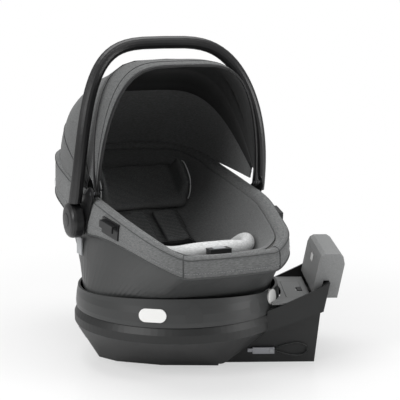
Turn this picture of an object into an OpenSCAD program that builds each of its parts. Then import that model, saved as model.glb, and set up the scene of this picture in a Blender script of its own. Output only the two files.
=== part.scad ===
// Infant car seat: a carrier with a swinging handle and a folding canopy, on a turning base
// with an anti-rebound bar. Millimetres, +Z up. The origin is on the floor at the turntable axis.
// The carrier's foot end points to -Y and its head end to +Y.

/* [Carrier] */
// Width of the carrier over its rim
carrier_w = 360; // [300:1:440]
// Distance from the turntable axis to the foot end
foot_reach = 274; // [235:1:284]
// Distance from the turntable axis to the head end
head_reach = 372; // [320:1:385]
// Height of the rim at the foot end
rim_foot_z = 263; // [250:1:320]
// Rise of the rim from the foot end to the head end
rim_rise = 138; // [110:1:165]
// Height of the fabric band at the foot end
band_foot = 42; // [30:1:50]
// Height of the fabric band along the sides and head end
band_side = 80; // [60:1:95]
// Wall of the moulded shell
shell_wall = 3.5; // [2.5:0.5:6]
// Thickness of the foam liner
foam_t = 14; // [8:1:20]
// Depth of the seat below the rim at the hips
seat_z = 172; // [150:1:190]

/* [Handle] */
// Height of the handle pivot
pivot_z = 285; // [265:1:310]
// Distance of the handle pivot from the turntable axis
pivot_y = 60; // [40:1:80]
// Height of the handle over its pivot
handle_h = 354; // [350:1:420]
// Thickness of the handle bar
handle_t = 26; // [20:1:32]
// Radius of each handle hub
hub_r = 37; // [33:1:45]
// Thickness of each handle hub
hub_t = 25; // [22:1:32]
// Radius of the handle pivot pins
pin_r = 9; // [6:0.5:12]

/* [Canopy] */
// Height of the canopy pivot
canopy_z = 347; // [345:1:370]
// Distance of the canopy pivot from the turntable axis
canopy_y = -4; // [-20:1:20]
// Reach of the front bow from the canopy pivot
canopy_r = 257; // [235:1:262]
// Thickness of each canopy panel
canopy_t = 3.6; // [3:0.2:5]
// Forward lean of the front bow past upright
bow_lean = 11; // [5:1:15]

/* [Turntable] */
// Outer radius of the turntable ring
ring_r = 210; // [205:1:230]
// Height of the ring's lower edge
ring_z = 108.5; // [105:0.5:115]
// Height of the ring's upper edge
ring_top = 150; // [145:1:156]
// Extra height of the ring's upper edge along its control side
ring_crest = 15; // [5:1:18]

/* [Base] */
// Turn of the base under the carrier
base_turn = -22; // [-45:1:0]
// Reach of the base at its low end
low_end = 163; // [150:1:175]
// Reach of the base at its bar end, on the floor
bar_end = 276; // [270:1:300]
// Half width of the base walls at the bar end
wall_v = 118; // [105:1:130]
// Height of the base walls at the bar end
wall_top = 173; // [165:1:185]
// Wall of the base mouldings
base_wall = 4; // [3:0.5:6]
// Height of the anti-rebound bar above the floor
bar_top = 227; // [220:1:250]
// Half width of the anti-rebound bar
bar_v = 100; // [80:1:110]

/* [Fits] */
// Clearance between parts that move on each other
gap = 0.4; // [0.3:0.05:0.6]
// Radial clearance of a pin in its bore
fit = 0.05; // [0.02:0.01:0.09]

/* [Hidden] */

half_w = carrier_w / 2;
seg = 4;                  // steps between neighbouring rim points
pivot_in = half_w + 14.5; // inner face of each handle hub

// ---------- shared shapes ----------

function lerp(a, b, t) = a + (b - a) * t;
function power(v, e) = sign(v) * pow(abs(v), e);
function curve_point(a, b, c, d, t) =
    0.5 * (2 * b + (c - a) * t + (2 * a - 5 * b + 4 * c - d) * t * t + (3 * b - a - 3 * c + d) * t * t * t);
// A closed smooth curve through the points
function closed_curve(p) = let (n = len(p)) [
    for (i = [0 : n - 1], j = [0 : seg - 1])
        curve_point(p[(i - 1 + n) % n], p[i], p[(i + 1) % n], p[(i + 2) % n], j / seg)
];
function mirrored(half) = concat(half, [for (i = [len(half) - 2 : -1 : 1]) [-half[i][0], half[i][1], half[i][2]]]);
// Moves a ring outwards in plan by out and up by up
function grown(ring, out, up) = let (n = len(ring)) [
    for (i = [0 : n - 1])
        let (d = ring[(i + 1) % n] - ring[(i - 1 + n) % n], l = norm([d[0], d[1]]))
            ring[i] + [d[1] / l * out, -d[0] / l * out, up]
];

// A closed solid through rings of equal length; loop joins the last ring to the first.
// The end rings are closed by fans, or by strips where a ring is a thin folded band.
module skin(rings, loop = false, band = false) {
    n = len(rings[0]);
    m = len(rings);
    last = loop ? m - 1 : m - 2;
    low = [for (k = [0 : 2]) [for (p = rings[0]) p[k]] * [for (p = rings[0]) 1 / n]];
    high = [for (k = [0 : 2]) [for (p = rings[m - 1]) p[k]] * [for (p = rings[m - 1]) 1 / n]];
    sides = [
        for (i = [0 : last], j = [0 : n - 1])
            let (a = i * n + j, b = i * n + (j + 1) % n, d = ((i + 1) % m) * n + j, c = ((i + 1) % m) * n + (j + 1) % n)
                each [[a, d, c], [a, c, b]]
    ];
    end = (m - 1) * n;
    fans = [for (j = [0 : n - 1]) each [[n * m, j, (j + 1) % n], [n * m + 1, end + (j + 1) % n, end + j]]];
    strips = [
        for (j = [0 : n / 2 - 2])
            let (a = j, b = j + 1, c = n - 2 - j, d = n - 1 - j)
                each [[a, b, c], [a, c, d], [end + b, end + a, end + c], [end + a, end + d, end + c]]
    ];
    polyhedron(
        points = concat([for (r = rings) each r], loop || band ? [] : [low, high]),
        faces = concat(sides, loop ? [] : band ? strips : fans)
    );
}

// ---------- carrier outline ----------

// Rim outline from the foot centre to the head centre: share of width, of reach and of rise
rim_keys = [
    [0, -1, 0], [0.33, -0.985, 0], [0.54, -0.95, 0.01], [0.75, -0.82, 0.155], [0.87, -0.55, 0.295],
    [0.975, -0.19, 0.465], [1, 0.13, 0.57], [0.995, 0.45, 0.71], [0.94, 0.75, 0.88], [0.7, 0.94, 0.975], [0, 1, 1]
];
function reach(share) = share * (share < 0 ? foot_reach : head_reach);
rim = closed_curve(mirrored([for (k = rim_keys) [k[0] * half_w, reach(k[1]), rim_foot_z + k[2] * rim_rise]]));
// The band hangs deeper from the foot end to the handle, then keeps its depth
function band_drop(y) = band_foot + (band_side - band_foot) * pow(min(1, max(0, (y + foot_reach) / (foot_reach + 20))), 2);
function dropped(ring, share, lift = 0) = [for (p = ring) p - [0, 0, band_drop(p[1]) * share - lift]];
hem = dropped(grown(rim, 4, 0), 1);

// The shell narrows to a round drum that stands in the turntable
drum_z = 112;             // underside of the shell
drum_angles = [-90, -70, -52, -38, -26, -12, 4, 28, 50, 70, 90];
function drum(side, foot, head, z) = closed_curve(mirrored([
    for (a = drum_angles) [side * power(cos(a), 0.96), (a < 0 ? foot : head) * power(sin(a), 0.96), z]
]));
lip_r = ring_r - 8.5;     // inner radius of the ring's upper edge
drum_low = drum(lip_r - 18, lip_r - 32, lip_r - 16, drum_z);
drum_top = drum(lip_r - 5, lip_r - 25, lip_r - 5, ring_top);
shell_hem = dropped(grown(rim, -2.5, 0), 1, 4);
shell_rim = grown(rim, -3, -6.9);

// Seat surface: a trough along the middle with steep walls
function trough(y) = y < 0 ? seat_z + 62 * pow(y / 250, 2) : seat_z + 178 * pow(y / 350, 1.35);
rim_z_line = [for (k = rim_keys) [reach(k[1]), rim_foot_z + k[2] * rim_rise]];
function rim_z(y) = lookup(y, rim_z_line);
cover_in = 22;            // width of the rolled rim
mid_y = 40;               // centre that the inner rings shrink towards
inner_rim = grown(rim, -cover_in - 0.8, 0);
function bowl_ring(s, lift) = [
    for (p = inner_rim)
        let (x = p[0] * s, y = mid_y + (p[1] - mid_y) * s, floor_z = trough(y))
            [x, y, floor_z + (rim_z(y) - 12 - floor_z) * pow(s, 5) + lift]
];
bowl_steps = [1, 0.98, 0.955, 0.93, 0.9, 0.865, 0.82, 0.76, 0.68, 0.58, 0.45, 0.32, 0.2, 0.08];
cover_t = 4;
foam_gap = 0.8;

module carrier_shell() color("#3a3b3d") skin([
    drum_low, drum_top,
    0.5 * (drum_top + shell_hem), shell_hem, shell_rim,
    grown(shell_rim, -shell_wall, 0), grown(shell_hem, -shell_wall, 1),
    grown(0.5 * (drum_top + shell_hem), -shell_wall, 2), grown(drum_top, -shell_wall, 2),
    grown(drum_low, -shell_wall, shell_wall)
]);

module foam_liner() color("#e9e9e6") skin(concat(
    [for (i = [len(bowl_steps) - 1 : -1 : 0]) bowl_ring(bowl_steps[i], -cover_t - foam_gap - foam_t)],
    [for (s = bowl_steps) bowl_ring(s, -cover_t - foam_gap)]
));

module seat_cover() color("#5d5f61") skin(concat(
    [for (i = [len(bowl_steps) - 1 : -1 : 0]) bowl_ring(bowl_steps[i], -cover_t)],
    [for (s = bowl_steps) bowl_ring(s, 0)]
));

// The fabric band: an upside-down U over the shell's rim
module rim_cover() color("#77797b") skin([
    hem, dropped(grown(rim, 4.5, 0), 0.5), grown(rim, 3, -9), grown(rim, -1, -1.5), grown(rim, -9, 0),
    grown(rim, -17, -3), grown(rim, -cover_in, -10), grown(rim, -cover_in, -22),
    grown(rim, -18, -22), grown(rim, -17, -9), grown(rim, -10, -6), grown(rim, -2, -6),
    dropped(grown(rim, -0.5, 0), 0.5), dropped(grown(rim, 0, 0), 1)
], loop = true);

// ---------- soft pieces in the seat ----------

// Height of the seat surface at a point, from its share of the way out to the inner rim
inner_line = [for (i = [0 : len(inner_rim) / 2]) let (p = inner_rim[i]) [atan2(abs(p[0]), mid_y - p[1]), norm([p[0], p[1] - mid_y])]];
function surface_z(x, y) = let (s = min(1, norm([x, y - mid_y]) / lookup(atan2(abs(x), mid_y - y), inner_line)), f = trough(y))
    f + (rim_z(y) - 12 - f) * pow(s, 5);

// A crowned pad laid on the seat surface between two widths and two ends
module pad(w_foot, w_head, y0, y1, t, lift) {
    nx = 10;
    ny = 12;
    function at(i, j, up) = let (
        y = lerp(y0, y1, j / ny), x = (i / nx - 0.5) * lerp(w_foot, w_head, j / ny),
        crown = pow(sin(180 * i / nx), 0.35) * pow(sin(180 * j / ny), 0.35))
        [x, y, surface_z(x, y) + lift + (up ? 3 + (t - 3) * crown : 0)];
    skin([for (j = [0 : ny]) concat([for (i = [0 : nx]) at(i, j, true)], [for (i = [nx : -1 : 0]) at(i, j, false)])], band = true);
}

insert_t = 16;
insert_lift = 0.9;        // clearance of the pads over the cover
back_head = 285;          // head end of the back pad
hip_y = -15;              // where the back pad meets the seat pad
module body_insert() color("#37393b") pad(150, 170, hip_y + 3, back_head, insert_t, insert_lift);
seat_lift = 0.9;
module seat_insert() color("#3d3f41") pad(130, 150, -150, hip_y, 14, seat_lift);

// A pad swept along the seat wall on each side of the legs
module bolster(side) {
    skin([
        for (j = [0 : 6])
            let (y = -140 + 20 * j, r = 4 + 12 * pow(sin(20 + 140 * j / 6), 0.6), c = [side * 94, y, surface_z(105, y) + r - 6.4])
                [for (a = [0 : 30 : 330]) c + [r * 0.55 * cos(a), 0, -r * sin(a)]]
    ]);
}
module leg_bolsters() color("#46484a") {
    bolster(-1);
    bolster(1);
}

// Head support: a back cushion with two forward wings, on the back pad
recline = 41;             // slope of the back at the head
head_y = 236;
head_base = surface_z(0, head_y) + insert_t + 3.6;
module on_back() translate([0, head_y, head_base]) rotate([recline, 0, 0]) children();
module head_support() color("#333436") on_back() {
    hull() for (x = [-88, 88], y = [-48, 48]) translate([x, y, 5]) cylinder(r = 12, h = 12, $fn = 32);
    for (side = [-1, 1])
        hull() for (y = [-40, 40]) {
            translate([side * 92, y, 17.2]) cylinder(r = 9, h = 3, $fn = 32);
            translate([side * 96, y * 0.75, 56]) cylinder(r = 6, h = 4, $fn = 32);
        }
}

strap_w = 38;
strap_x = 36;
strap_t = 1.6;
pad_top = insert_t + insert_lift + 0.7; // height of a strap over the seat surface
// A flat strip that follows the seat surface
module strip(x, w, y0, y1, lift, t) {
    n = 8;
    skin([
        for (j = [0 : n])
            let (y = lerp(y0, y1, j / n), l = x - w / 2, r = x + w / 2, zl = surface_z(l, y) + lift, zr = surface_z(r, y) + lift)
                [[l, y, zl + t], [r, y, zr + t], [r, y, zr], [l, y, zl]]
    ]);
}
module shoulder_straps() color("#2a2b2c") for (side = [-1, 1]) strip(side * strap_x, strap_w, 18, 176, pad_top, strap_t);
module strap_pads() color("#303133") for (side = [-1, 1]) strip(side * strap_x, strap_w + 12, 78, 170, pad_top + strap_t + 0.4, 9);
module crotch_strap() color("#2a2b2c") strip(0, strap_w, -75, buckle_y - 20.6, 14 + seat_lift + 0.8, 2);

buckle_y = -10;
buckle_z = surface_z(24, buckle_y + 26) + pad_top - 3;
module buckle() color("#26272a") translate([-24, buckle_y - 20, buckle_z]) difference() {
    cube([48, 46, 20]);
    translate([12 - gap, 10 - gap, 14]) cube([24 + 2 * gap, 20 + 2 * gap, 10]);
}
module buckle_button() color("#b3302c") translate([-12, buckle_y - 10, buckle_z + 16.5]) cube([24, 20, 6]);
module chest_clip() color("#26272a") translate([-62, 48, surface_z(strap_x + strap_w / 2, 70) + pad_top + strap_t + 0.4]) cube([124, 22, 7]);

adjuster_y = -205;
adjuster_z = surface_z(24, adjuster_y - 12) + 2.6;
module harness_adjuster() color("#2b2c2e") translate([-22, adjuster_y - 10, adjuster_z - 3]) difference() {
    cube([44, 22, 12]);
    translate([10 - gap, 5 - gap, 6]) cube([24 + 2 * gap, 12 + 2 * gap, 8]);
}
module adjuster_button() color("#8a8c8e") translate([-12, adjuster_y - 5, adjuster_z + 5]) cube([24, 12, 5]);

// Hook plates that the vehicle belt passes under, one on each side band
guide_y = -88;
module belt_guides() color("#202123") for (side = [-1, 1])
    translate([side * (half_w * 0.945 + 5), guide_y, rim_z(guide_y) - 27]) rotate([8, 0, -side * 10.6]) {
        translate([side < 0 ? -4 : 0, -30, -16]) cube([4, 60, 32]);
        translate([side < 0 ? -14 : 4, -24, 8]) cube([10, 48, 4]);
        translate([side < 0 ? -14 : 10, -24, -2]) cube([4, 48, 10]);
    }

// ---------- handle pivots ----------

bracket_in = half_w + 5.6; // inner face of the side brackets
bracket_t = 3.4;
boss_r = 26;
module at_pivot() translate([0, pivot_y, pivot_z]) rotate([0, 90, 0]) children();

module side_bracket() difference() {
    union() {
        hull() {
            translate([bracket_in, canopy_y, canopy_z]) rotate([0, 90, 0]) cylinder(r = 13, h = bracket_t, $fn = 32);
            translate([bracket_in, pivot_y, pivot_z]) rotate([0, 90, 0]) cylinder(r = boss_r + 6, h = bracket_t, $fn = 32);
        }
        at_pivot() translate([0, 0, bracket_in + bracket_t - 0.5]) cylinder(r = boss_r, h = pivot_in - gap - bracket_in - bracket_t + 0.5);
    }
    at_pivot() translate([0, 0, bracket_in - 1]) cylinder(r = pin_r + 0.02, h = 40);
    translate([bracket_in - 1, canopy_y, canopy_z]) rotate([0, 90, 0]) cylinder(r = 4.02, h = bracket_t + 2);
}
module side_bracket_right() color("#17181a") side_bracket();
module side_bracket_left() color("#17181a") mirror([1, 0, 0]) side_bracket();

module both_sides() {
    children();
    mirror([1, 0, 0]) children();
}
pin_end = pivot_in + hub_t - 9;
module pivot_pins() color("#9a9ca0") both_sides() at_pivot() translate([0, 0, bracket_in]) cylinder(r = pin_r, h = pin_end - bracket_in);

gear_r = 26;
teeth = 24;
gear_w = 8;
module detent_gears() color("#c9cacc") both_sides() at_pivot() translate([0, 0, pivot_in + gap]) difference() {
    linear_extrude(gear_w) polygon([
        for (i = [0 : 2 * teeth - 1]) let (r = i % 2 == 0 ? gear_r : gear_r - 3.5, a = 180 * i / teeth) [r * cos(a), r * sin(a)]
    ]);
    translate([0, 0, -1]) cylinder(r = pin_r + 0.02, h = gear_w + 2);
}

// The hub is a domed cup round the detent gear, with a seat for its button in the outer face
button_r = 15;
button_travel = 3;
module handle_hub() at_pivot() translate([0, 0, pivot_in]) rotate_extrude($fn = 96) polygon([
    [pin_r + fit, gear_w + 2 * gap], [gear_r + 2, gear_w + 2 * gap], [gear_r + 2, 0],
    [hub_r, 0], [hub_r, hub_t - 11], [hub_r - 1.5, hub_t - 6], [hub_r - 5, hub_t - 2.5], [hub_r - 10, hub_t - 0.8], [button_r + gap, hub_t],
    [button_r + gap, hub_t - 8], [pin_r + fit, hub_t - 8]
]);
module handle_hub_right() color("#1b1c1e") handle_hub();
module handle_hub_left() color("#1b1c1e") mirror([1, 0, 0]) handle_hub();
module handle_button() at_pivot() translate([0, 0, pivot_in + hub_t - 8 + button_travel + 0.6]) rotate_extrude($fn = 64)
    polygon([[0, 0], [button_r, 0], [button_r, 4], [button_r - 2, 5.4], [0, 6]]);
module handle_button_right() color("#242527") handle_button();
module handle_button_left() color("#242527") mirror([1, 0, 0]) handle_button();

// The handle is a tube along a wide arch whose legs bow towards the foot end
handle_x = pivot_in + hub_t / 2;
arch_w = 3.7;             // roundness across
arch_h = 3.0;             // roundness upwards
leg_bow = 42;             // how far the legs bow forwards
top_lean = 10;            // how far the top stands behind the pivot
function arch_at(a) = let (g = pow(sin(a), 2 / arch_h), h = handle_h * g)
    [power(cos(a), 2 / arch_w) * (handle_x - 0.0375 * h), pivot_y + top_lean * g - 4 * leg_bow * g * (1 - g), pivot_z + h];
foot_a = asin(pow((hub_r + 0.6) / handle_h, arch_h / 2));
module handle_bar() color("#1e1f21") {
    steps = 56;
    skin([
        for (i = [0 : steps])
            let (
                e = i / steps, w = 0.5 - 0.5 * cos(180 * e), a = lerp(foot_a, 180 - foot_a, lerp(e, w, 0.55)),
                c = arch_at(a), d = arch_at(min(a + 0.4, 180 - foot_a + 0.2)) - arch_at(max(a - 0.4, foot_a - 0.2)),
                n = [d[2], 0, -d[0]] / norm([d[2], 0, -d[0]]), b = cross(n, d) / norm(cross(n, d)),
                flare = 1 + 0.4 * pow(max(0, 1 - (c[2] - pivot_z - hub_r) / 120), 2),
                flat = i == 0 || i == steps)
                [for (k = [0 : 15]) let (p = c + n * handle_t / 2 * cos(22.5 * k) - b * handle_t / 2 * flare * sin(22.5 * k))
                    [p[0], p[1], flat ? pivot_z + hub_r + 0.6 : p[2]]]
    ]);
}

// ---------- canopy ----------

layer = canopy_t + 1;     // step between nested canopy panels
arch_n = 4.3;             // roundness of the bows across
arch_m = 1.76;            // roundness of the bows upwards
canopy_w = half_w - 4;    // half width over the front panel
function bow_arch(r, w, low) = let (t0 = asin(pow(low / r, arch_m / 2))) [
    for (i = [0 : 24]) let (t = lerp(t0, 180 - t0, i / 24)) [r * pow(sin(t), 2 / arch_m), w * power(cos(t), 2 / arch_n)]
];
function bow_ring(r, w, t, low) = let (o = bow_arch(r, w, low), n = bow_arch(r - t, w - t, low)) concat(o, [for (i = [24 : -1 : 0]) n[i]]);
module at_canopy(angle) translate([0, canopy_y, canopy_z]) rotate([angle, 0, 0]) rotate([0, 90, 0]) rotate([0, 0, 90]) children();
// Angles run up from the head end, so 90 is upright
module arch_sector(r, w, low, from, to) at_canopy(from) rotate_extrude(angle = to - from, $fn = 120) polygon(bow_ring(r, w, canopy_t, low));
// A flat bow with an eye at each foot, just ahead of its panel
module bow(r, w, angle) {
    bow_w = 6;
    difference() {
        union() {
            at_canopy(angle) rotate([90, 0, 0]) translate([0, 0, -bow_w]) linear_extrude(bow_w) polygon(bow_ring(r, w, canopy_t, 4));
            for (side = [0, 1]) mirror([side, 0, 0]) translate([w - canopy_t, canopy_y, canopy_z]) rotate([0, 90, 0]) cylinder(r = 8, h = canopy_t);
        }
        for (side = [0, 1]) mirror([side, 0, 0]) translate([w - canopy_t - 1, canopy_y, canopy_z]) rotate([0, 90, 0]) cylinder(r = 4 + fit, h = canopy_t + 2);
    }
}
front_a = 90 + bow_lean;
crown = 5;                // how far the fabric stands up behind the front bow
front_back = 76;          // rear edge of the front panel
mid_front = 75;
mid_back = 52;
eye_clear = 18;           // the panels start this far from the pivot
module canopy_front() color("#757779") arch_sector(canopy_r, canopy_w, eye_clear, front_back, front_a - 1.5);
module canopy_front_bow() color("#1c1d1f") bow(canopy_r, canopy_w, front_a - 1.5);
module canopy_mid() color("#6d6f71") arch_sector(canopy_r + layer + crown, canopy_w + layer, eye_clear, mid_back, mid_front);
module canopy_mid_bow() color("#1c1d1f") bow(canopy_r + layer + crown, canopy_w + layer, mid_front);
module canopy_pins() color("#9a9ca0") both_sides() translate([canopy_w - canopy_t - 1.5, canopy_y, canopy_z]) rotate([0, 90, 0])
    cylinder(r = 4, h = bracket_in + bracket_t - canopy_w + canopy_t + 1.5);

// The fixed rear panel bulges behind the mid panel and comes down to the rim round the head end:
// angle from level, reach, half width and roundness across and upwards
rear_keys = [
    [54, canopy_r + 2 * layer + crown + 5, canopy_w + 2 * layer - 0.4, 4.5, 2.4],
    [44, canopy_r + 2 * layer + 22, canopy_w + 2 * layer - 0.4, 4.6, 3.2],
    [32, canopy_r + 2 * layer + 44, canopy_w + 2 * layer - 0.4, 4.8, 4],
    [21, canopy_r + 2 * layer + 66, canopy_w + 2 * layer - 0.4, 4.6, 4.2],
    [8.4, head_reach - canopy_y + 1, canopy_w + 2 * layer - 0.4, 3.6, 3.6]
];
rear_low = 40;            // the rear panel starts this far from the pivot
function rear_point(k, i, inset) = let (
    t0 = asin(pow(rear_low / k[1], k[4] / 2)), t = lerp(t0, 180 - t0, i / 32), r = (k[1] - inset) * pow(sin(t), 2 / k[4]))
    [(k[2] - inset) * power(cos(t), 2 / k[3]), canopy_y + r * cos(k[0]), canopy_z + r * sin(k[0])];
module canopy_rear() color("#717375") skin([
    for (i = [0 : 32]) concat([for (k = rear_keys) rear_point(k, i, 0)], [for (j = [len(rear_keys) - 1 : -1 : 0]) rear_point(rear_keys[j], i, canopy_t)])
], band = true);

// ---------- carrier trim ----------

module side_plates() color("#b9bbbd") both_sides() translate([half_w + 5.1, pivot_y + 4, 208]) cube([2.5, 30, 36]);

bar_r = 5;
bar_y = 100;
bar_z = 106;
module latch_bars() color("#a4a6aa") for (y = [-bar_y, bar_y]) translate([0, y, 0]) {
    translate([-88, 0, bar_z]) rotate([0, 90, 0]) cylinder(r = bar_r, h = 176);
    for (side = [0, 1]) mirror([side, 0, 0]) translate([88, -7, bar_z - 6]) cube([8, 14, drum_z - bar_z + 6]);
}

// Squeeze lever in a housing on the slope of the shell under the head end
shell_back = [lip_r - 5, ring_top];       // the slope's lower point, y and z
shell_head = [head_reach - 2.5, rim_foot_z + rim_rise - band_side + 4];
slope = atan2(shell_head[1] - shell_back[1], shell_head[0] - shell_back[0]);
lever_travel = 6;
module on_slope() translate([0, lerp(shell_back[0], shell_head[0], 0.7), lerp(shell_back[1], shell_head[1], 0.7)])
    rotate([180 + slope, 0, 0]) children();
module release_housing() color("#2c2d2f") on_slope() translate([-55, -16, 0.4]) difference() {
    cube([110, 32, 15]);
    translate([5, 5, 4]) cube([100, 22, 20]);
}
module release_lever() color("#515355") on_slope() translate([-50 + gap, -5 + gap, 4.4 + gap]) cube([100 - 2 * gap, 16 - 2 * gap, 13]);

// ---------- turntable ----------

plate_z = 90;
axle_r = 30;
ball_r = 4;
ball_z = plate_z - 2;
race_r = 152;
module turntable_plate() color("#2a2b2d") difference() {
    union() {
        translate([0, 0, plate_z]) cylinder(r = ring_r - 14, h = 8, $fn = 96);
        translate([0, 0, plate_z - 26]) cylinder(r = axle_r, h = 27);
    }
    translate([0, 0, ball_z]) rotate_extrude($fn = 96) translate([race_r, 0]) circle(r = ball_r + 0.3);
}

// Crest of the ring's upper edge on the control side, as seen along the base
module crest_cut(off) rotate([0, 0, base_turn]) rotate([90, 0, 90]) translate([0, 0, -260]) linear_extrude(520) polygon(concat(
    [for (v = [-240 : 20 : 0]) [v, ring_top + off + ring_crest * pow(v / ring_r, 2)]], [[240, ring_top + off], [240, 260], [-240, 260]]
));
control_a = -90 + base_turn; // direction of the ring's control side
module at_control(a, r, z, tilt) rotate([0, 0, control_a + a]) translate([r, 0, z]) rotate([0, 90 - tilt, 0]) children();
button_a = -14;
indicator_a = 64;
module turntable_ring() color("#3b3c3e") difference() {
    rotate_extrude($fn = 144) polygon([
        [ring_r - 24, plate_z + 8], [ring_r - 9, plate_z + 8], [ring_r - 9, ring_z], [ring_r, ring_z], [ring_r + 0.6, ring_z + 9], [ring_r - 0.8, ring_z + 26],
        [ring_r - 3.5, ring_top - 2], [ring_r - 6, ring_top + 16], [ring_r - 10, ring_top + 16], [lip_r, ring_top - 2],
        [ring_r - 4.8, ring_z + 26], [ring_r - 3.4, ring_z + 9], [ring_r - 4, ring_z + 4], [ring_r - 13, ring_z + 4], [ring_r - 13, plate_z + 12], [ring_r - 24, plate_z + 12]
    ]);
    crest_cut(0);
    at_control(button_a, ring_r - 16, ring_z + 22, 7) oval(27 + gap, 13 + gap, 30);
    at_control(indicator_a, ring_r - 16, ring_z + 29, 7) oval(20 + gap, 14 + gap, 30);
    // Two shallow arched recesses beside the button
    at_control(8, ring_r - 2.2, ring_z + 28, 7) recess(17, 19, 20);
    at_control(46, ring_r - 2.2, ring_z + 29, 7) recess(15, 16, 20);
}
// An arch standing up from a flat lower edge: half width, half height
module recess(a, b, h) {
    translate([a - b, 0, 0]) cylinder(r = a, h = h, $fn = 64);
    translate([a - b, -a, 0]) cube([2 * b - a, 2 * a, h]);
}
// A rounded slot shape lying along the ring
module oval(a, b, h) union() {
    translate([-b, -(a - b), 0]) cube([2 * b, 2 * (a - b), h]);
    for (s = [-1, 1]) translate([0, s * (a - b), 0]) cylinder(r = b, h = h, $fn = 64);
}
module rotate_button() color("#f1f1ee") at_control(button_a, ring_r - 16, ring_z + 22, 7) translate([0, 0, 3]) oval(27, 13, 13.5);
module lock_indicator() color("#dededb") at_control(indicator_a, ring_r - 16, ring_z + 29, 7) translate([0, 0, 5]) oval(20, 14, 11);

// Two saddles that the carrier's latch bars drop into
module dock() color("#242527") {
    translate([0, 0, plate_z + 8]) difference() {
        cylinder(r = 150, h = 2);
        translate([0, 0, -1]) cylinder(r = 60, h = 4);
    }
    for (x = [-66, 66], y = [-bar_y, bar_y]) translate([x - 8, y - 14, plate_z + 10]) difference() {
        cube([16, 28, 11]);
        translate([-1, 14 - bar_r - gap, bar_z - bar_r - gap - plate_z - 10]) cube([18, 2 * (bar_r + gap), 20]);
    }
}

// ---------- base ----------

module on_base() rotate([0, 0, base_turn]) children();

tongue_u = 90;            // where the narrow lower body starts
// Floor outline of the round end, from the low end to the tongue
function floor_outline(inset) = [
    for (s = [1, -1], k = s > 0 ? [0 : 3] : [3 : -1 : 0])
        let (p = [[-low_end, 36], [-low_end * 0.77, 68], [-34, 97], [tongue_u, 103]][k]) [p[0] + (p[0] < 0 ? inset : 0), s * (p[1] - inset)]
];
floor_t = 3;
foot_r = 9;
foot_t = 2;
module feet_places() for (u = [-110, 60], s = [-1, 1]) translate([u, s * (u < 0 ? 40 : 70), 0]) children();
module base_floor() color("#232426") on_base() {
    difference() {
        linear_extrude(floor_t) polygon(floor_outline(base_wall + 9));
        feet_places() translate([0, 0, -1]) cylinder(r = foot_r + 0.1, h = foot_t + 1);
    }
    translate([-38, -40, floor_t - 0.5]) difference() {
        cube([76, 80, 3.5]);
        translate([38, 40, 0.5]) cylinder(r = axle_r, h = 6);
    }
}

edge_z = ring_z - 1.5;    // upper edge of the base shell under the ring
lean = 11.5;              // how far the end wall and the bar lean out
wall_lean = tan(lean);
tongue = [
    [96, 44], [bar_end + 13, 114], [bar_end + 13 + wall_lean * (wall_top - 114), wall_top], [bar_end - 14, 153], [202, 125], [150, edge_z], [96, edge_z]
];
module base_shell() color("#2b2c2e") on_base() difference() {
    union() {
        hull() {
            linear_extrude(1) polygon(floor_outline(0));
            translate([0, 0, 78]) cylinder(r = ring_r + 4, h = 16, $fn = 96);
            translate([0, 0, edge_z - 1]) cylinder(r = ring_r - 2, h = 1, $fn = 96);
        }
        rotate([90, 0, 0]) translate([0, 0, -wall_v]) linear_extrude(2 * wall_v) polygon(tongue);
    }
    difference() {
        hull() {
            translate([0, 0, -1]) linear_extrude(1.5) polygon(floor_outline(base_wall));
            translate([0, 0, 78]) cylinder(r = ring_r + 4 - base_wall, h = 16 - base_wall / 2, $fn = 96);
            translate([0, 0, edge_z - base_wall]) cylinder(r = ring_r - 2 - base_wall, h = 0.5, $fn = 96);
        }
    }
    translate([0, 0, plate_z]) cylinder(r = ring_r - 7.5, h = 100, $fn = 96);
    translate([0, 0, edge_z]) cylinder(r = ring_r + 2.5, h = 100, $fn = 96);
    rotate([90, 0, 0]) translate([0, 0, -wall_v + 6]) linear_extrude(2 * wall_v - 12) polygon([
        [80, -10], [bar_end - 12, -10], [bar_end + 2, 114], [bar_end + 2 + wall_lean * (wall_top - 104), wall_top + 10], [80, wall_top + 10]
    ]);
    // Slot for the recline lever in the low end
    translate([-260, -24, 34]) cube([80, 48, 30]);
}

body_v = 82;
// The narrower lower body under the tongue, an open box that holds the stowed connectors outside it
module base_body() color("#1d1e20") on_base() difference() {
    rotate([90, 0, 0]) translate([0, 0, -body_v]) linear_extrude(2 * body_v) polygon([
        [tongue_u + 0.4, 0], [bar_end, 0], [bar_end + 12, 109], [bar_end - 16, 109], [108, 36]
    ]);
    rotate([90, 0, 0]) translate([0, 0, -body_v + 4]) linear_extrude(2 * body_v - 8) polygon([
        [108, 4], [bar_end - 4, 4], [bar_end + 7, 120], [108, 60]
    ]);
}

frame_top = plate_z - 10;
module base_frame() color("#4a4c4f") on_base() difference() {
    union() {
        translate([0, 0, 6]) cylinder(r = 62, h = frame_top - 16);
        translate([0, 0, frame_top - 10]) cylinder(r = ring_r - 42, h = 10, $fn = 96);
    }
    translate([0, 0, 5]) cylinder(r = axle_r + fit, h = frame_top);
}
module bearing_race() color("#b4b6b9") translate([0, 0, frame_top]) difference() {
    cylinder(r = race_r + 12, h = 6, $fn = 96);
    translate([0, 0, -1]) cylinder(r = race_r - 12, h = 8, $fn = 96);
    translate([0, 0, ball_z - frame_top]) rotate_extrude($fn = 96) translate([race_r, 0]) circle(r = ball_r + 0.3);
}
module bearing_balls() color("#d5d7da") for (i = [0 : 23]) rotate([0, 0, 15 * i]) translate([race_r, 0, ball_z]) sphere(r = ball_r, $fn = 32);

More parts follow.
